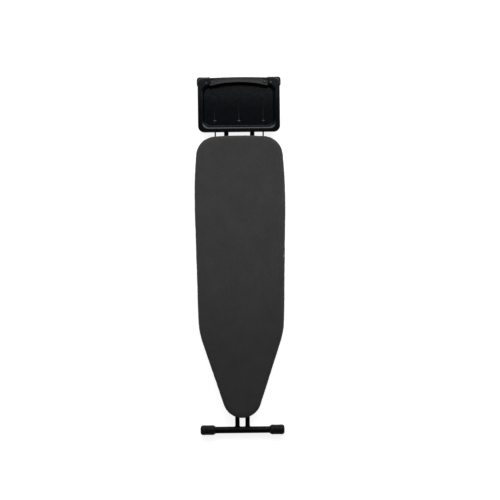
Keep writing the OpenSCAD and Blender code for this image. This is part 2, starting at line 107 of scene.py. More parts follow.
def board_outline(spacing):
    """The board's closed outline as (point, outward direction) pairs about spacing apart."""
    corner_x = BOARD_HALF - SIDE_R + (SIDE_R - CORNER_R) * math.sin(CORNER_END)
    end_turn = math.asin(corner_x / (END_R - CORNER_R))
    end_c = Vector((0, BOARD_LEN - END_R))
    corner_c = end_c + (END_R - CORNER_R) * out(end_turn)
    side_c = corner_c - (SIDE_R - CORNER_R) * out(CORNER_END)
    nose_c = Vector((0, NOSE_R))
    side_d = side_c.dot(out(SIDE_END)) + SIDE_R - HIP_R
    taper_d = nose_c.dot(out(TAPER_END)) + NOSE_R - HIP_R
    det = math.sin(SIDE_END - TAPER_END)
    hip_c = Vector((
        (side_d * math.cos(TAPER_END) - taper_d * math.cos(SIDE_END)) / det,
        (taper_d * math.sin(SIDE_END) - side_d * math.sin(TAPER_END)) / det,
    ))
    end = arc(end_c, END_R, 0, end_turn, spacing)
    corner = arc(corner_c, CORNER_R, end_turn, CORNER_END, spacing)
    side = arc(side_c, SIDE_R, CORNER_END, SIDE_END, spacing)
    hip = arc(hip_c, HIP_R, SIDE_END, TAPER_END, spacing)
    nose = arc(nose_c, NOSE_R, TAPER_END, math.pi, spacing)
    right = end + corner[1:] + side[1:] + straight(side[-1], hip[0], spacing) + hip
    right += straight(hip[-1], nose[0], spacing) + nose
    left = [(Vector((-p.x, p.y)), Vector((-n.x, n.y))) for p, n in right[-2:0:-1]]
    return [(Vector((p.x, p.y + NOSE_Y)), n) for p, n in right + left]


# ---- Mesh helpers ----
def new_piece(name, verts, faces, body, mat, smooth=True, instead_of=()):
    """Makes a mesh object that rides on a body, takes a slot's finish and may stand for CAD nodes."""
    data = bpy.data.meshes.new(name)
    data.from_pydata([tuple(v) for v in verts], [], faces)
    data.update()
    bm = bmesh.new()
    bm.from_mesh(data)
    bmesh.ops.recalc_face_normals(bm, faces=bm.faces)
    bm.to_mesh(data)
    bm.free()
    obj = bpy.data.objects.new(name, data)
    bpy.context.scene.collection.objects.link(obj)
    for poly in data.polygons:
        poly.use_smooth = smooth
    data.materials.append(mat)
    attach(obj, body)
    if instead_of:
        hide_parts(*instead_of)
    return obj


def loft(loops, cap_first=True, cap_last=True):
    """Vertices and faces of the skin over closed loops that all have the same number of points."""
    count = len(loops[0])
    verts = [p for loop in loops for p in loop]
    faces = []
    for k in range(len(loops) - 1):
        a, b = k * count, (k + 1) * count
        faces += [(a + i, a + (i + 1) % count, b + (i + 1) % count, b + i) for i in range(count)]
    if cap_first:
        faces.append(tuple(range(count - 1, -1, -1)))
    if cap_last:
        last = (len(loops) - 1) * count
        faces.append(tuple(last + i for i in range(count)))
    return verts, faces


def join(parts):
    """Joins several (verts, faces) pairs into one."""
    verts, faces = [], []
    for v, f in parts:
        base = len(verts)
        verts += v
        faces += [tuple(i + base for i in face) for face in f]
    return verts, faces


def lathe(profile, place, steps):
    """Turns (radius, height) points about an axis; place maps (radius, angle, height) to a point."""
    loops = [[place(r, 2 * math.pi * i / steps, h) for i in range(steps)] for r, h in profile]
    return loft(loops)


def upright(foot):
    """A place function for lathe: turned about a vertical axis that stands on foot."""
    return lambda r, t, h: Vector(foot) + Vector((r * math.cos(t), r * math.sin(t), h))


def ring_tube(points, radius, sides):
    """A round tube along a closed ring of points."""
    count = len(points)
    loops = []
    for i, p in enumerate(points):
        before, after = points[i - 1], points[(i + 1) % count]
        ahead = (Vector(after) - Vector(before)).normalized()
        side = ahead.cross(Vector((0, 0, 1)))
        side = side.normalized() if side.length > 1e-4 else Vector((1, 0, 0))
        up = side.cross(ahead)
        ring = [2 * math.pi * j / sides for j in range(sides)]
        loops.append([Vector(p) + radius * (math.cos(t) * side + math.sin(t) * up) for t in ring])
    return loft(loops + [loops[0]], False, False)


def smoothstep(low, high, value):
    """0 below low, 1 above high, and a smooth rise between them."""
    t = min(1.0, max(0.0, (value - low) / (high - low)))
    return t * t * (3 - 2 * t)


def apply_modifiers(obj):
    """Makes the modifiers' result the object's own mesh."""
    graph = bpy.context.evaluated_depsgraph_get()
    result = bpy.data.meshes.new_from_object(obj.evaluated_get(graph))
    obj.modifiers.clear()
    obj.data = result


# ---- Materials ----
class Nodes:
    """A short way to write a material's node tree."""

    def __init__(self, name):
        self.material = bpy.data.materials.new(name)
        self.material.use_nodes = True
        self.tree = self.material.node_tree
        self.shader = self.tree.nodes["Principled BSDF"]
        self.coords = self.add("ShaderNodeTexCoord").outputs["Object"]

    def add(self, kind, **values):
        node = self.tree.nodes.new(kind)
        for key, value in values.items():
            if hasattr(node, key):
                setattr(node, key, value)
            else:
                self.put(node.inputs[key.replace("_", " ")], value)
        return node

    def put(self, socket, value):
        if isinstance(value, bpy.types.NodeSocket):
            self.tree.links.new(value, socket)
        else:
            socket.default_value = value

    def set(self, **values):
        """Sets the shader's sockets, such as Roughness=0.4; an underscore stands for a space."""
        for key, value in values.items():
            self.put(self.shader.inputs[key.replace("_", " ")], value)

    def noise(self, scale, detail=3.0, roughness=0.5, stretch=None):
        vector = self.coords
        if stretch:
            mapping = self.add("ShaderNodeMapping", Vector=vector)
            mapping.inputs["Scale"].default_value = stretch
            vector = mapping.outputs[0]
        return self.add(
            "ShaderNodeTexNoise", Vector=vector, Scale=scale, Detail=detail, Roughness=roughness
        ).outputs["Fac"]

    def weave(self, pitch, direction):
        """Threads a pitch apart, running across direction, 0 to 1."""
        return self.add(
            "ShaderNodeTexWave", Vector=self.coords, bands_direction=direction,
            Scale=math.pi / (10 * pitch), Distortion=0.6, Detail=1.0, Detail_Scale=3.0,
        ).outputs["Fac"]

    def math(self, operation, a, b):
        node = self.add("ShaderNodeMath", operation=operation)
        self.put(node.inputs[0], a)
        self.put(node.inputs[1], b)
        return node.outputs[0]

    def along(self, axis):
        """The place along an axis of the object, in metres."""
        return self.add("ShaderNodeSeparateXYZ", Vector=self.coords).outputs[axis]

    def blend(self, factor, low, high):
        """A colour from low to high as factor goes from 0 to 1."""
        node = self.add("ShaderNodeMix", data_type="RGBA")
        self.put(node.inputs[0], factor)
        self.put(node.inputs[6], (*low, 1))
        self.put(node.inputs[7], (*high, 1))
        return node.outputs[2]

    def ramp(self, value, low, high, to_low=0.0, to_high=1.0):
        return self.add(
            "ShaderNodeMapRange", Value=value, From_Min=low, From_Max=high, To_Min=to_low, To_Max=to_high
        ).outputs[0]

    def bump(self, height, distance, strength=1.0, over=None):
        node = self.add("ShaderNodeBump", Height=height, Distance=distance, Strength=strength)
        if over:
            self.put(node.inputs["Normal"], over)
        self.put(self.shader.inputs["Normal"], node.outputs[0])
        return node.outputs[0]


def scaled(colour, factor):
    """A colour made lighter or darker."""
    return tuple(c * factor for c in colour)


def powder_coat(name, colour, rough, gloss=0.3):
    """Powder coat: a fine orange peel, faint mottling and a few rubbed patches."""
    m = Nodes(name)
    patches = m.ramp(m.noise(9, 4, 0.6), 0.56, 0.72)
    m.set(Base_Color=m.blend(patches, colour, scaled(colour, 1.6)), Specular_IOR_Level=gloss)
    m.set(Roughness=m.ramp(m.noise(40, 3), 0.3, 0.7, rough - 0.05, rough + 0.07))
    m.bump(m.noise(700, 2), 0.00005, 0.5)
    return m.material


def moulded(name, colour, rough, grain=1400, depth=0.00002, gloss=0.3, tint=(1, 1, 1), scuffed=None):
    """Moulded plastic: spark-eroded grain, slow tone drift, and a part that use has scuffed duller."""
    m = Nodes(name)
    drift = m.noise(6, 3, 0.55)
    m.set(Base_Color=m.blend(drift, scaled(colour, 0.85), scaled(colour, 1.2)))
    m.set(Specular_IOR_Level=gloss, Specular_Tint=(*tint, 1))
    dull = m.ramp(m.noise(60, 4), 0.3, 0.7, rough - 0.02, rough + 0.03)
    if scuffed:
        start, end, extra = scuffed
        dull = m.math("ADD", dull, m.ramp(m.along("Y"), start, end, 0.0, extra))
    m.set(Roughness=dull)
    m.bump(m.noise(grain, 2, 0.7), depth, 0.6)
    return m.material


def zinc_plate(name, dull=(0.42, 0.43, 0.45), bright=(0.66, 0.67, 0.68), rough=0.26):
    """Zinc plating: drawn streaks along the board and dull clouds."""
    m = Nodes(name)
    clouds = m.noise(35, 4, 0.6)
    streaks = m.noise(260, 3, 0.6, stretch=(1, 0.06, 1))
    m.set(Metallic=1.0, Base_Color=m.blend(clouds, dull, bright))
    m.set(Roughness=m.ramp(streaks, 0.3, 0.7, rough, rough + 0.2))
    m.bump(streaks, 0.00005, 0.4)
    return m.material


def rubber(name, colour, rough):
    """Rubber: matt, with dust in a fine grain."""
    m = Nodes(name)
    dust = m.ramp(m.noise(60, 5, 0.7), 0.5, 0.8)
    m.set(Base_Color=m.blend(dust, colour, scaled(colour, 2.0)), Specular_IOR_Level=0.2)
    m.set(Roughness=m.ramp(m.noise(30, 3), 0.3, 0.7, rough - 0.06, rough + 0.06))
    m.bump(m.noise(1300, 3, 0.7), 0.00004, 0.5)
    return m.material


def woven_cloth(name, colour, pitch, painted_light_falloff=False):
    """Plain woven cotton: warp and weft threads, slubs, a soft heather, a light sheen, and painted shading
    along the board where asked.
    """
    m = Nodes(name)
    warp = m.weave(pitch, "X")
    weft = m.weave(pitch, "Y")
    threads = m.math("MAXIMUM", warp, weft)
    slubs = m.noise(420, 4, 0.7, stretch=(1, 0.25, 1))
    clouds = m.noise(11, 4, 0.6)
    tone = m.math("ADD", m.math("MULTIPLY", slubs, 0.7), m.math("MULTIPLY", clouds, 0.3))
    tone = m.math("MULTIPLY", tone, m.ramp(threads, 0, 1, 0.75, 1.1))
    # Painted shading: the colour darkens towards the nose and a little towards the square end, standing in
    # for how the far light falls along the board.
    if painted_light_falloff:
        place = m.along("Y")
        tone = m.math("MULTIPLY", tone, m.ramp(place, -0.50, -0.05, 0.86, 1.22))
        tone = m.math("MULTIPLY", tone, m.ramp(place, 0.30, 0.58, 1.0, 0.86))
    m.set(Base_Color=m.blend(tone, scaled(colour, 0.45), scaled(colour, 1.75)))
    m.set(Roughness=0.92, Specular_IOR_Level=0.12, Sheen_Weight=0.12, Sheen_Roughness=0.6)
    m.set(Sheen_Tint=(0.55, 0.56, 0.56, 1))
    under = m.bump(clouds, 0.0006, 0.25)
    m.bump(m.math("ADD", threads, m.math("MULTIPLY", slubs, 0.7)), 0.00022, 0.8, over=under)
    return m.material


def felt(name, colour):
    """Needled felt: tangled fibres with a few darker recycled ones."""
    m = Nodes(name)
    fibres = m.noise(900, 6, 0.8)
    flecks = m.ramp(m.noise(240, 5, 0.75), 0.55, 0.7)
    m.set(Base_Color=m.blend(flecks, colour, scaled(colour, 0.55)), Roughness=1.0, Sheen_Weight=0.2)
    m.set(Specular_IOR_Level=0.1)
    m.bump(fibres, 0.0006, 0.9)
    return m.material


# The cotton's colour carries painted shading along the board: darker towards the nose and the square end.
CLOTH_MAT = woven_cloth("charcoal_cotton", (0.0422, 0.0425, 0.0421), 0.0009, painted_light_falloff=True)
HEM_MAT = woven_cloth("hem_tape", (0.016, 0.016, 0.016), 0.0007)
FELT_MAT = felt("grey_felt", (0.5, 0.49, 0.46))
MESH_MAT = powder_coat("mesh_powder_coat", (0.3, 0.31, 0.32), 0.5)
FRAME_MAT = powder_coat("frame_powder_coat", (0.012, 0.012, 0.0125), 0.42)
LEG_MAT = powder_coat("leg_powder_coat", (0.0028, 0.0028, 0.003), 0.5, gloss=0.08)
ZINC_MAT = zinc_plate("zinc_plating")
SCREW_MAT = zinc_plate("blackened_screws", (0.07, 0.07, 0.072), (0.13, 0.13, 0.134), 0.35)
TRAY_MAT = moulded("tray_plastic", (0.0018, 0.0020, 0.0025), 0.21, gloss=0.28, tint=(0.8, 0.88, 1.0),
                   scuffed=(tray_hi.y - 0.15, tray_hi.y - 0.06, 0.07))
STOP_MAT = moulded("backstop_plastic", (0.003, 0.003, 0.0033), 0.3, gloss=0.13)
SMALL_MAT = moulded("small_plastic", (0.008, 0.008, 0.0085), 0.45)
STRIP_MAT = rubber("strip_silicone", (0.0024, 0.0024, 0.0026), 0.3)
# The tabs' light grey is partly painted highlight: it stands for the glint at each strip's near end.
TAB_GLINT_MAT = rubber("grey_silicone_painted_glint", (0.13, 0.13, 0.132), 0.45)
FOOT_MAT = rubber("foot_rubber", (0.0034, 0.0034, 0.0034), 0.65)

SLOT_MATERIALS = {
    "cover_cloth": CLOTH_MAT, "padding": FELT_MAT, "mesh_steel": MESH_MAT, "frame_steel": FRAME_MAT,
    "leg_steel": LEG_MAT, "bright_steel": ZINC_MAT, "tray_plastic": TRAY_MAT,
    "small_plastic": SMALL_MAT, "strip_rubber": STRIP_MAT, "foot_rubber": FOOT_MAT,
}
for entry in frame["record"]["subparts"]:
    node_mesh = frame["nodes"][entry["node"]].data
    node_mesh.materials.clear()
    node_mesh.materials.append(SLOT_MATERIALS[entry["material_slot"]])

# ---- The cover: a sheet over the board, its edge drawn in underneath ----
EDGE_R = 0.0085
SHELL_STEP = 0.006
FINE_STEP = 0.002
VOXEL = 0.0045
OUTLINE_KEEP = 0.0012
PUCKER = 0.0016
SLACK = 0.0006
CLOTH_FRAMES = 12
MOVE_CAP = 0.0025


def rounded_shell(outline, low, high, radius):
    """A closed slab on an outline, with rounded edges."""
    turns = [math.pi / 2 * i / 5 for i in range(6)]
    stations = [(LIP, low), (radius, low)]
    stations += [(radius - radius * math.sin(t), low + radius - radius * math.cos(t)) for t in turns[1:]]
    stations += [(radius - radius * math.cos(t), high - radius + radius * math.sin(t)) for t in turns]
    stations += [(0.03, high), (0.06, high)]
    return loft([[Vector((*(p - inset * n), z)) for p, n in outline] for inset, z in stations])


def edge_distance(outline):
    """A function that gives how far a point is from the outline, and the nearest place along it."""
    tree = kdtree.KDTree(len(outline))
    for i, (p, _) in enumerate(outline):
        tree.insert((p.x, p.y, 0), i)
    tree.balance()

    def measure(point):
        _, index, distance = tree.find((point.x, point.y, 0))
        return distance, index

    return measure


def gathers(along):
    """Small irregular gathers at a place along the drawn edge, about -1 to 1."""
    wide = noise.noise(Vector((along * 14, 3.1, 0)))
    fine = noise.noise(Vector((along * 46, 9.7, 0)))
    return 0.6 * wide + 0.7 * fine


def tighten_by_simulation(obj, pinned):
    """Inflates the cover a little with Blender's cloth, caps the movement, and keeps the result."""
    rest = [v.co.copy() for v in obj.data.vertices]
    group = obj.vertex_groups.new(name="held")
    group.add(pinned, 1.0, "ADD")
    cloth = obj.modifiers.new("Cloth", "CLOTH")
    cloth.settings.vertex_group_mass = "held"
    cloth.settings.effector_weights.gravity = 0
    cloth.settings.use_pressure = True
    cloth.settings.uniform_pressure_force = 3.0
    cloth.settings.tension_stiffness = 30
    cloth.settings.compression_stiffness = 20
    cloth.settings.bending_stiffness = 4
    cloth.settings.quality = 4
    cloth.point_cache.frame_end = CLOTH_FRAMES
    for step in range(1, CLOTH_FRAMES + 1):
        bpy.context.scene.frame_set(step)
    apply_modifiers(obj)
    bpy.context.scene.frame_set(1)
    for vertex, start in zip(obj.data.vertices, rest):
        move = vertex.co - start
        if move.length > MOVE_CAP:
            vertex.co = start + move * (MOVE_CAP / move.length)
    obj.vertex_groups.clear()


def make_cover():
    """The cover: a shell opened underneath, tightened, puckered at its drawn edge and given a thickness."""
    verts, faces = rounded_shell(
        board_outline(SHELL_STEP), cover_lo.z + CLOTH / 2, cover_hi.z - CLOTH / 2, EDGE_R)
    cover = new_piece("fabric_cover", verts, faces, "board", CLOTH_MAT, True, ["cover"])
    remesh = cover.modifiers.new("Remesh", "REMESH")
    remesh.mode = "VOXEL"
    remesh.voxel_size = VOXEL
    apply_modifiers(cover)
    fine = board_outline(FINE_STEP)
    measure = edge_distance(fine)
    bm = bmesh.new()
    bm.from_mesh(cover.data)
    under = cover_lo.z + 0.004
    opening = [f for f in bm.faces if f.calc_center_median().z < under
               and measure(f.calc_center_median())[0] > LIP - VOXEL / 2]
    bmesh.ops.delete(bm, geom=opening, context="FACES")
    bm.to_mesh(cover.data)
    bm.free()
    low_verts = [v.index for v in cover.data.vertices if v.co.z < cover_lo.z + EDGE_R]
    tighten_by_simulation(cover, low_verts)
    for v in cover.data.vertices:
        distance, index = measure(v.co)
        edge = 1 - smoothstep(0.004, 0.03, distance)
        direction = fine[index][1]
        shift = PUCKER * gathers(index * FINE_STEP) * edge
        grow = OUTLINE_KEEP * edge - abs(shift)
        v.co.x += direction.x * grow
        v.co.y += direction.y * grow
        gentle = noise.noise(Vector((v.co.x * 7, v.co.y * 5, 0.4)))
        v.co.z += SLACK * gentle if v.co.z > cover_hi.z - EDGE_R else 0.6 * shift
    solid = cover.modifiers.new("Solidify", "SOLIDIFY")
    solid.thickness = CLOTH
    solid.offset = -1
    apply_modifiers(cover)
    for poly in cover.data.polygons:
        poly.use_smooth = True
    return cover


def make_hem():
    """The drawn hem: a soft tube along the lip's inner edge, with small gathers."""
    points = []
    for i, (p, n) in enumerate(board_outline(0.005)):
        wobble = 0.0012 * math.sin(i * 1.9) + 0.001 * noise.noise(Vector((i * 0.21, 0, 5)))
        q = p - (LIP + wobble) * n
        points.append(Vector((q.x, q.y, cover_lo.z + 0.0012 + 0.4 * wobble)))
    verts, faces = ring_tube(points, 0.0024, 10)
    return new_piece("cover_hem", verts, faces, "board", HEM_MAT)


def make_pad():
    """The felt under the cover: a rounded slab, softer at its edges."""
    outline = [(p - CLOTH * 1.5 * n, n) for p, n in board_outline(0.012)]
    low, high = pad_lo.z, pad_hi.z - 0.0006
    stations = [(0.09, low), (0.0045, low), (0.003, low + 0.0008), (0.0032, low + 0.002)]
    stations += [(0.0045, high - 0.0018), (0.0065, high - 0.0007), (0.010, high - 0.0002), (0.085, high)]
    verts, faces = loft([[Vector((*(p - inset * n), z)) for p, n in outline] for inset, z in stations])
    return new_piece("felt_padding", verts, faces, "board", FELT_MAT, True, ["pad"])


cover = make_cover()
hem = make_hem()
pad = make_pad()
FLAT_MARGIN = (cover_hi.z - cover_lo.z) + LIP


def sheet_area():
    """The cover's flat area: the board's outline grown by the skirt and lip."""
    points = [p + FLAT_MARGIN * n for p, n in board_outline(0.01)]
    total = 0.0
    for a, b in zip(points, points[1:] + points[:1]):
        total += a.x * b.y - b.x * a.y
    return abs(total) / 2


sheet_area()

# ---- The top mesh: expanded steel under the padding ----
CELL_X, CELL_Y = 0.014, 0.034
STRAND_W, STRAND_T = 0.0016, 0.0014


def make_top_mesh():
    """Strands along the sides of stretched diamonds, kept inside the rim."""
    rim_line = board_outline(0.003)
    measure = edge_distance(rim_line)
    half_rows = round(BOARD_LEN / CELL_Y)
    half_cols = round(BOARD_HALF / CELL_X)
    parts = []
    low, high = mesh_lo.z, mesh_lo.z + STRAND_T / 2

    def inside(x, y):
        if not NOSE_Y < y < NOSE_Y + BOARD_LEN:
            return False
        distance, index = measure(Vector((x, y, 0)))
        p, n = rim_line[index]
        return (Vector((x, y)) - p).dot(n) < 0 and distance > 0.006

    for row in range(-1, half_rows + 2):
        y = NOSE_Y + row * CELL_Y
        for column in range(-half_cols - 1, half_cols + 2):
            x = column * CELL_X
            for dx in (-1, 1):
                for dy in (-1, 1):
                    a = Vector((x, y + dy * CELL_Y / 2))
                    b = Vector((x + dx * CELL_X / 2, y))
                    if not (inside(*a) and inside(*b)):
                        continue
                    side = Vector((-(b - a).y, (b - a).x)).normalized() * STRAND_W / 2
                    ring = [a - side, a + side, b + side, b - side]
                    parts.append(loft([[Vector((*p, z)) for p in ring] for z in (low, high)]))
    verts, faces = join(parts)
    return new_piece("expanded_mesh", verts, faces, "board", MESH_MAT, False, ["board_mesh"])


make_top_mesh()

# ---- The iron rest ----
TRAY_HALF = tray_hi.x
TRAY_D = tray_hi.y - tray_lo.y
NEAR_R, FAR_R = 0.030, 0.022
BOW_R, RECESS_BOW_R = 3.2, 0.45
FLOOR_Z = strips_lo.z
CORNER_STEPS = 10
EDGE_STEPS = 24


def tray_loop(side, near, far, r_near, r_far, z, bow=BOW_R):
    """A rounded rectangle set in from the tray's edges, its far edge bowed by the radius bow."""
    half = TRAY_HALF - side
    y0, y1 = tray_lo.y + near, tray_hi.y - far

    def bowed(x, y):
        sag = bow - math.sqrt(bow * bow - x * x)
        return y - sag * smoothstep(tray_lo.y + TRAY_D / 2, tray_hi.y, y)

    centres = [(half - r_far, y1 - r_far, r_far, 0), (half - r_near, y0 + r_near, r_near, 90),
               (r_near - half, y0 + r_near, r_near, 180), (r_far - half, y1 - r_far, r_far, 270)]
    corners = []
    for cx, cy, r, start in centres:
        turns = [math.radians(start + 90 * i / CORNER_STEPS) for i in range(CORNER_STEPS + 1)]
        corners.append([Vector((cx + r * math.sin(t), cy + r * math.cos(t))) for t in turns])
    points = []
    for corner, following in zip(corners, corners[1:] + corners[:1]):
        points += corner
        points += [corner[-1].lerp(following[0], i / EDGE_STEPS) for i in range(1, EDGE_STEPS)]
    return [Vector((p.x, bowed(p.x, p.y), z)) for p in points]


def make_tray():
    """One closed moulded shell: underside, skirt, rolled edge, border, slope and floor."""
    low, top = tray_lo.z, tray_hi.z
    wall = 0.0025
    roll = 0.0035
    # Each row: inset from the sides, near edge and far edge, near and far corner radius, height,
    # and the far edge's bow where it isn't the tray's own
    rows = [
        (0.080, 0.075, 0.085, 0.012, 0.012, low, RECESS_BOW_R),
        (0.0340, 0.0340, 0.0260, 0.020, 0.020, low, RECESS_BOW_R),
        (0.0305, 0.0305, 0.0225, 0.022, 0.022, low + 0.0012, RECESS_BOW_R),
        (0.0215, 0.0215, 0.0135, 0.024, 0.024, top - wall - 0.002, RECESS_BOW_R),
        (0.0195, 0.0195, 0.0115, 0.025, 0.025, top - wall - 0.0008, RECESS_BOW_R),
        (0.006, 0.006, 0.006, 0.025, 0.018, top - wall - 0.0008),
        (wall, wall, wall, 0.028, 0.020, top - wall - 0.002),
        (wall, wall, wall, 0.028, 0.020, low + 0.0016),
        (0.0008, 0.0008, 0.0008, 0.0295, 0.0215, low + 0.001),
        (0.0, 0.0, 0.0, NEAR_R, FAR_R, low + 0.002),
    ]
    for i in range(6):
        turn = math.pi / 2 * i / 5
        inset = roll * (1 - math.cos(turn))
        rows.append((
            inset, inset, inset, NEAR_R - inset, FAR_R - inset, top - roll + roll * math.sin(turn)))
    rows.append((0.0045, 0.0045, 0.0045, NEAR_R, FAR_R, top))
    # A wide rounded shoulder, a steep wall and a small fillet, as (inset, drop)
    shoulder, fillet, steep = 0.0155, 0.0015, math.radians(78)
    wall_top, depth = 0.0155, top - FLOOR_Z
    profile = [(wall_top - 0.0010, 0.0)]
    for i in range(8):
        turn = steep * i / 7
        profile.append((wall_top + shoulder * math.sin(turn), shoulder * (1 - math.cos(turn))))
    wall_end = profile[-1][0] + 0.0003
    for i in range(6):
        turn = steep * (1 - i / 5)
        foot = wall_end + fillet * (math.sin(steep) - math.sin(turn))
        profile.append((foot, depth - fillet * (1 - math.cos(turn))))
    under_stop = 0.0065
    for inset, drop in profile:
        rows.append((inset, inset, inset - under_stop, NEAR_R - 0.1 * inset, FAR_R + 0.1 * inset,
                     top - drop, RECESS_BOW_R))
    rows += [(0.036, 0.036, 0.030, 0.026, 0.026, FLOOR_Z, RECESS_BOW_R),
             (0.050, 0.050, 0.046, 0.018, 0.018, FLOOR_Z, RECESS_BOW_R),
             (0.082, 0.078, 0.088, 0.011, 0.011, FLOOR_Z, RECESS_BOW_R)]
    verts, faces = loft([tray_loop(*row) for row in rows])
    return new_piece("rest_tray", verts, faces, "board", TRAY_MAT, True, ["tray_pan"])


STRIP_W = 0.009
STRIP_H = 0.003
STRIP_TOP = FLOOR_Z + STRIP_H
STRIP_X = (strips_hi.x - strips_lo.x - STRIP_W) / 2
STRIP_XS = (-STRIP_X, 0.0, STRIP_X)


def capsule_loop(x, y0, y1, inset, z, steps=8):
    """A long loop with round ends, set in from a strip's edge."""
    r = STRIP_W / 2 - inset
    arcs = [Vector((r * math.cos(math.pi * i / steps), r * math.sin(math.pi * i / steps), 0))
            for i in range(steps + 1)]
    far, near = Vector((x, y1 - STRIP_W / 2, z)), Vector((x, y0 + STRIP_W / 2, z))
    return [far + a for a in arcs] + [near - a for a in arcs]


def make_strips():
    """Three silicone strips, each with a rounded top and a shallow groove along it."""
    y0, y1 = strips_lo.y, strips_hi.y
    levels = [(0.0, FLOOR_Z - 0.0002), (0.0, STRIP_TOP - 0.0010), (0.0004, STRIP_TOP - 0.0003),
              (0.0011, STRIP_TOP), (0.0024, STRIP_TOP), (0.0030, STRIP_TOP - 0.0007),
              (0.0038, STRIP_TOP - 0.0008)]
    verts, faces = join([
        loft([capsule_loop(x, y0, y1, inset, z) for inset, z in levels]) for x in STRIP_XS])
    return new_piece(
        "silicone_strips", verts, faces, "board", STRIP_MAT, True, ["grip_strips"])


def make_strip_tabs():
    """A small light grey bridge across each strip's near end, where the strip is held to the floor; its
    light grey is partly painted highlight, the glint at the strip's end.
    """
    parts = []
    half, r, y = 0.0064, 0.0016, strips_lo.y + 0.0100
    levels = [(0.0, -STRIP_H - 0.0002), (0.0, 0.0004), (0.0004, 0.0008), (0.0010, 0.0010)]
    for x in STRIP_XS:
        loops = []
        for inset, rise in levels:
            loop = []
            for end in (1, -1):
                for i in range(9):
                    turn = math.pi * i / 8
                    loop.append(Vector((x + end * (half - r + (r - inset) * math.sin(turn)),
                                        y + end * (r - inset) * math.cos(turn), STRIP_TOP + rise)))
            loops.append(loop)
        parts.append(loft(loops))
    verts, faces = join(parts)
    return new_piece("strip_tabs", verts, faces, "board", TAB_GLINT_MAT)


screw_lo, screw_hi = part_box("backstop_screws")
SCREW_R = 0.004
SCREW_Y = (screw_lo.y + screw_hi.y) / 2
STOP_SCREW_X = 0.123
BORDER_SCREW_X = screw_hi.x - SCREW_R


def make_backstop():
    """The arched bar: a band that rises from the tray's far edge to a rounded lip over the recess."""
    half = stop_hi.x
    sag = 0.019
    height = stop_hi.z - stop_lo.z
    bow = (half * half + sag * sag) / (2 * sag)
    steps = 72
    # The section from the far foot over the top to the near foot: (share of depth, share of height)
    section = [(0.0, 0.0), (0.0, 0.50), (0.008, 0.58), (0.03, 0.635), (0.08, 0.665), (0.18, 0.69),
               (0.30, 0.72), (0.42, 0.755), (0.54, 0.80), (0.66, 0.855), (0.76, 0.91), (0.84, 0.955),
               (0.90, 0.985), (0.945, 0.995), (0.975, 0.97), (0.993, 0.90), (1.0, 0.78), (1.0, 0.30),
               (1.0, 0.0)]
    loops = []
    for i in range(steps + 1):
        x = half * math.sin(math.pi * (i / steps - 0.5))
        near = stop_lo.y + sag - bow + math.sqrt(bow * bow - x * x)
        far = stop_hi.y - 0.011 * smoothstep(half - 0.050, half, abs(x)) - x * x / (2 * BOW_R)
        end = math.sqrt(max(0.0, 1 - (abs(x) / half) ** 20))
        rise = height * (0.25 + 0.75 * end)
        inset = 0.003 * (1 - end)
        loop = []
        for along, up in section:
            y = far - inset + (near - far + 2 * inset) * along
            loop.append(Vector((x, y, stop_lo.z + rise * up)))
        loops.append(loop)
    boss = [(0.0066, 0.0), (0.0066, height - 0.0012), (0.0062, height - 0.0004), (0.0054, height),
            (0.0002, height)]
    bosses = [lathe(boss, upright((x, SCREW_Y, stop_lo.z)), 32) for x in (-STOP_SCREW_X, STOP_SCREW_X)]
    verts, faces = join([loft(loops)] + bosses)
    return new_piece(
        "arched_backstop", verts, faces, "board", STOP_MAT, True, ["backstop_bar"])


def make_screws():
    """Domed screw heads with a round recess, where the frame's screws stand."""
    dome = [(0.0040, -0.0003), (0.0040, 0.0006), (0.0036, 0.0013), (0.0028, 0.0018), (0.0018, 0.0020),
            (0.0013, 0.0012), (0.0002, 0.0010)]
    places = [(-BORDER_SCREW_X, tray_hi.z), (-STOP_SCREW_X, stop_hi.z), (STOP_SCREW_X, stop_hi.z),
              (BORDER_SCREW_X, tray_hi.z)]
    verts, faces = join([lathe(dome, upright((x, SCREW_Y, base)), 28) for x, base in places])
    return new_piece(
        "rest_screws", verts, faces, "board", SCREW_MAT, True, ["backstop_screws"])


make_tray()
make_strips()
make_strip_tabs()
make_backstop()
make_screws()

# ---- Feet: rubber caps and the welds at the leg tubes ----
BAR_R = 0.016
LEG_R = 0.011
CAP_LEN = 0.072
CAP_ROUND = 0.012
WELD_REACH = 0.0048
WELD_STEPS = 56


def make_caps(body, node):
    """Two foot caps: tapered shoulder, ribbed grip and a rounded end."""
    lo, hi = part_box(node)
    y, z = (lo.y + hi.y) / 2, (lo.z + hi.z) / 2
    r = (hi.z - lo.z) / 2
    profile = [(BAR_R + 0.0001, 0.004), (BAR_R + 0.0001, 0.0), (BAR_R + 0.0012, 0.0),
               (BAR_R + 0.0020, 0.0008), (r - 0.0012, 0.0082), (r - 0.0002, 0.0098), (r, 0.0118)]
    for k in range(4):
        rib = 0.020 + k * 0.0075
        profile += [(r, rib), (r - 0.0009, rib + 0.0008), (r - 0.0009, rib + 0.0026), (r, rib + 0.0034)]
    for i in range(7):
        turn = math.pi / 2 * i / 6
        profile.append((r - CAP_ROUND * (1 - math.cos(turn)), CAP_LEN - CAP_ROUND * (1 - math.sin(turn))))
    profile += [(r - 0.0140, CAP_LEN), (r - 0.0147, CAP_LEN - 0.0008), (0.0004, CAP_LEN - 0.0010)]

    def pointing(side):
        return lambda radius, t, h: Vector((
            side * (hi.x - CAP_LEN + h), y + radius * math.cos(t), z + radius * math.sin(t)))

    verts, faces = join([lathe(profile, pointing(side), 64) for side in (-1, 1)])
    return new_piece(
        node.replace("caps", "rubber_caps"), verts, faces, body, FOOT_MAT, True, [node])


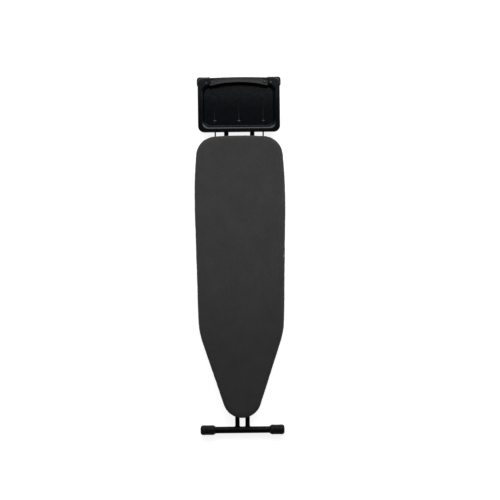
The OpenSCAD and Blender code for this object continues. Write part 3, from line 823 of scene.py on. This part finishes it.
def make_welds(body, bar_node, tube_nodes, way):
    """Fillet welds where the leg tubes meet their foot bar."""
    lo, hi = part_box(bar_node)
    y, z = (lo.y + hi.y) / 2, (lo.z + hi.z) / 2
    parts = []
    for node in tube_nodes:
        tube_lo, tube_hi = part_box(node)
        x = (tube_lo.x + tube_hi.x) / 2
        loops = []
        for i in range(WELD_STEPS):
            turn = 2 * math.pi * i / WELD_STEPS
            c, s = math.cos(turn), math.sin(turn)
            reach = WELD_REACH * (1 + 0.12 * math.sin(i * 2.8))
            foot = math.sqrt(BAR_R ** 2 - (LEG_R * s) ** 2)
            root = Vector((x + LEG_R * c, y + way * foot, z + LEG_R * s))
            up = root + Vector((0.0001 * c, way * reach, 0.0001 * s))
            wide = LEG_R + reach * 0.8
            spread = math.sqrt(BAR_R ** 2 - (wide * s) ** 2)
            low = Vector((x + wide * c, y + way * spread, z + wide * s))
            mid = (up + low) / 2 + (root - (up + low) / 2) * 0.25
            sunk = LEG_R - 0.0006
            inner = Vector((x + sunk * c, y + way * (foot - 0.0006), z + sunk * s))
            loops.append([inner, up, (up + mid) / 2, mid, (mid + low) / 2, low])
        parts.append(loft(loops + [loops[0]], False, False))
    verts, faces = join(parts)
    return new_piece(bar_node + "_welds", verts, faces, body, LEG_MAT)


make_caps("leg_inner", "inner_caps")
make_caps("leg_outer", "outer_caps")
make_welds("leg_inner", "inner_foot_bar", ["inner_tube_left", "inner_tube_right"], 1)
make_welds("leg_outer", "outer_foot_bar", ["outer_tube_left", "outer_tube_right"], -1)

# ---- Studio: floor, lights and camera ----
VIEW_WIDTH = 2.385
CAMERA_UP = 4.3
CAMERA_X = 0.0455
CAMERA_Y = (cover_lo.y + cover_hi.y) / 2 + 0.127
CAMERA_ROLL = 0.65
SKY_LIGHT, SKY_SEEN = 0.035, 0.91
PAPER, PAPER_GLOW = 0.5, 0.88
FLOOR_HALF = 30.0

floor_mesh = bpy.data.meshes.new("floor")
floor_mesh.from_pydata(
    [(-FLOOR_HALF, -FLOOR_HALF, 0), (FLOOR_HALF, -FLOOR_HALF, 0), (FLOOR_HALF, FLOOR_HALF, 0),
     (-FLOOR_HALF, FLOOR_HALF, 0)], [], [(0, 1, 2, 3)])
floor = bpy.data.objects.new("floor", floor_mesh)
bpy.context.scene.collection.objects.link(floor)
paper = Nodes("studio_paper")
paper.set(Base_Color=(PAPER, PAPER, PAPER, 1), Roughness=0.9, Specular_IOR_Level=0.05)
paper.set(Emission_Color=(1, 1, 1, 1), Emission_Strength=PAPER_GLOW)
floor_mesh.materials.append(paper.material)

# The floor stays under the feet when the legs open: a point on the inner leg's foot gives its height
foot_lo, foot_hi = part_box("inner_caps")
foot_mark = bpy.data.objects.new("foot_mark", None)
bpy.context.scene.collection.objects.link(foot_mark)
foot_mark.parent = frame["bodies"]["leg_inner"]
foot_mark.location = (0, (foot_lo.y + foot_hi.y) / 2, (foot_lo.z + foot_hi.z) / 2)
floor_mesh.transform(Matrix.Translation((0, 0, -(foot_hi.z - foot_lo.z) / 2)))
follow = floor.constraints.new("COPY_LOCATION")
follow.target = foot_mark
follow.use_x = False
follow.use_y = False


def softbox(name, place, aim, width, height, watts):
    """A rectangular soft light at place, facing aim."""
    data = bpy.data.lights.new(name, "AREA")
    data.shape = "RECTANGLE"
    data.size, data.size_y = width, height
    data.energy = watts
    lamp = bpy.data.objects.new(name, data)
    bpy.context.scene.collection.objects.link(lamp)
    lamp.location = place
    lamp.rotation_euler = (Vector(aim) - Vector(place)).to_track_quat("-Z", "Y").to_euler()


softbox("key_far", (0.3, 3.2, 2.9), (0, 0.8, 0), 4.6, 2.6, 192)
softbox("fill_left", (-3.4, 2.8, 2.2), (0, 0.5, 0), 2.4, 2.4, 14)
softbox("fill_right", (3.4, 2.8, 2.2), (0, 0.5, 0), 2.4, 2.4, 14)

world = bpy.data.worlds.new("studio")
bpy.context.scene.world = world
world.use_nodes = True
sky = world.node_tree
backdrop = sky.nodes["Background"]
seen = sky.nodes.new("ShaderNodeLightPath")
level = sky.nodes.new("ShaderNodeMapRange")
level.inputs["To Min"].default_value = SKY_LIGHT
level.inputs["To Max"].default_value = SKY_SEEN
sky.links.new(seen.outputs["Is Camera Ray"], level.inputs["Value"])
sky.links.new(level.outputs[0], backdrop.inputs["Strength"])
backdrop.inputs["Color"].default_value = (1, 1, 1, 1)

bpy.context.scene.view_settings.view_transform = "Standard"

camera_data = bpy.data.cameras.new("camera")
camera_data.angle = 2 * math.atan(VIEW_WIDTH / 2 / CAMERA_UP)
camera = bpy.data.objects.new("camera", camera_data)
bpy.context.scene.collection.objects.link(camera)
camera.location = (CAMERA_X, CAMERA_Y, cover_hi.z + CAMERA_UP)
camera.rotation_euler = (0, 0, math.radians(-CAMERA_ROLL))
bpy.context.scene.camera = camera
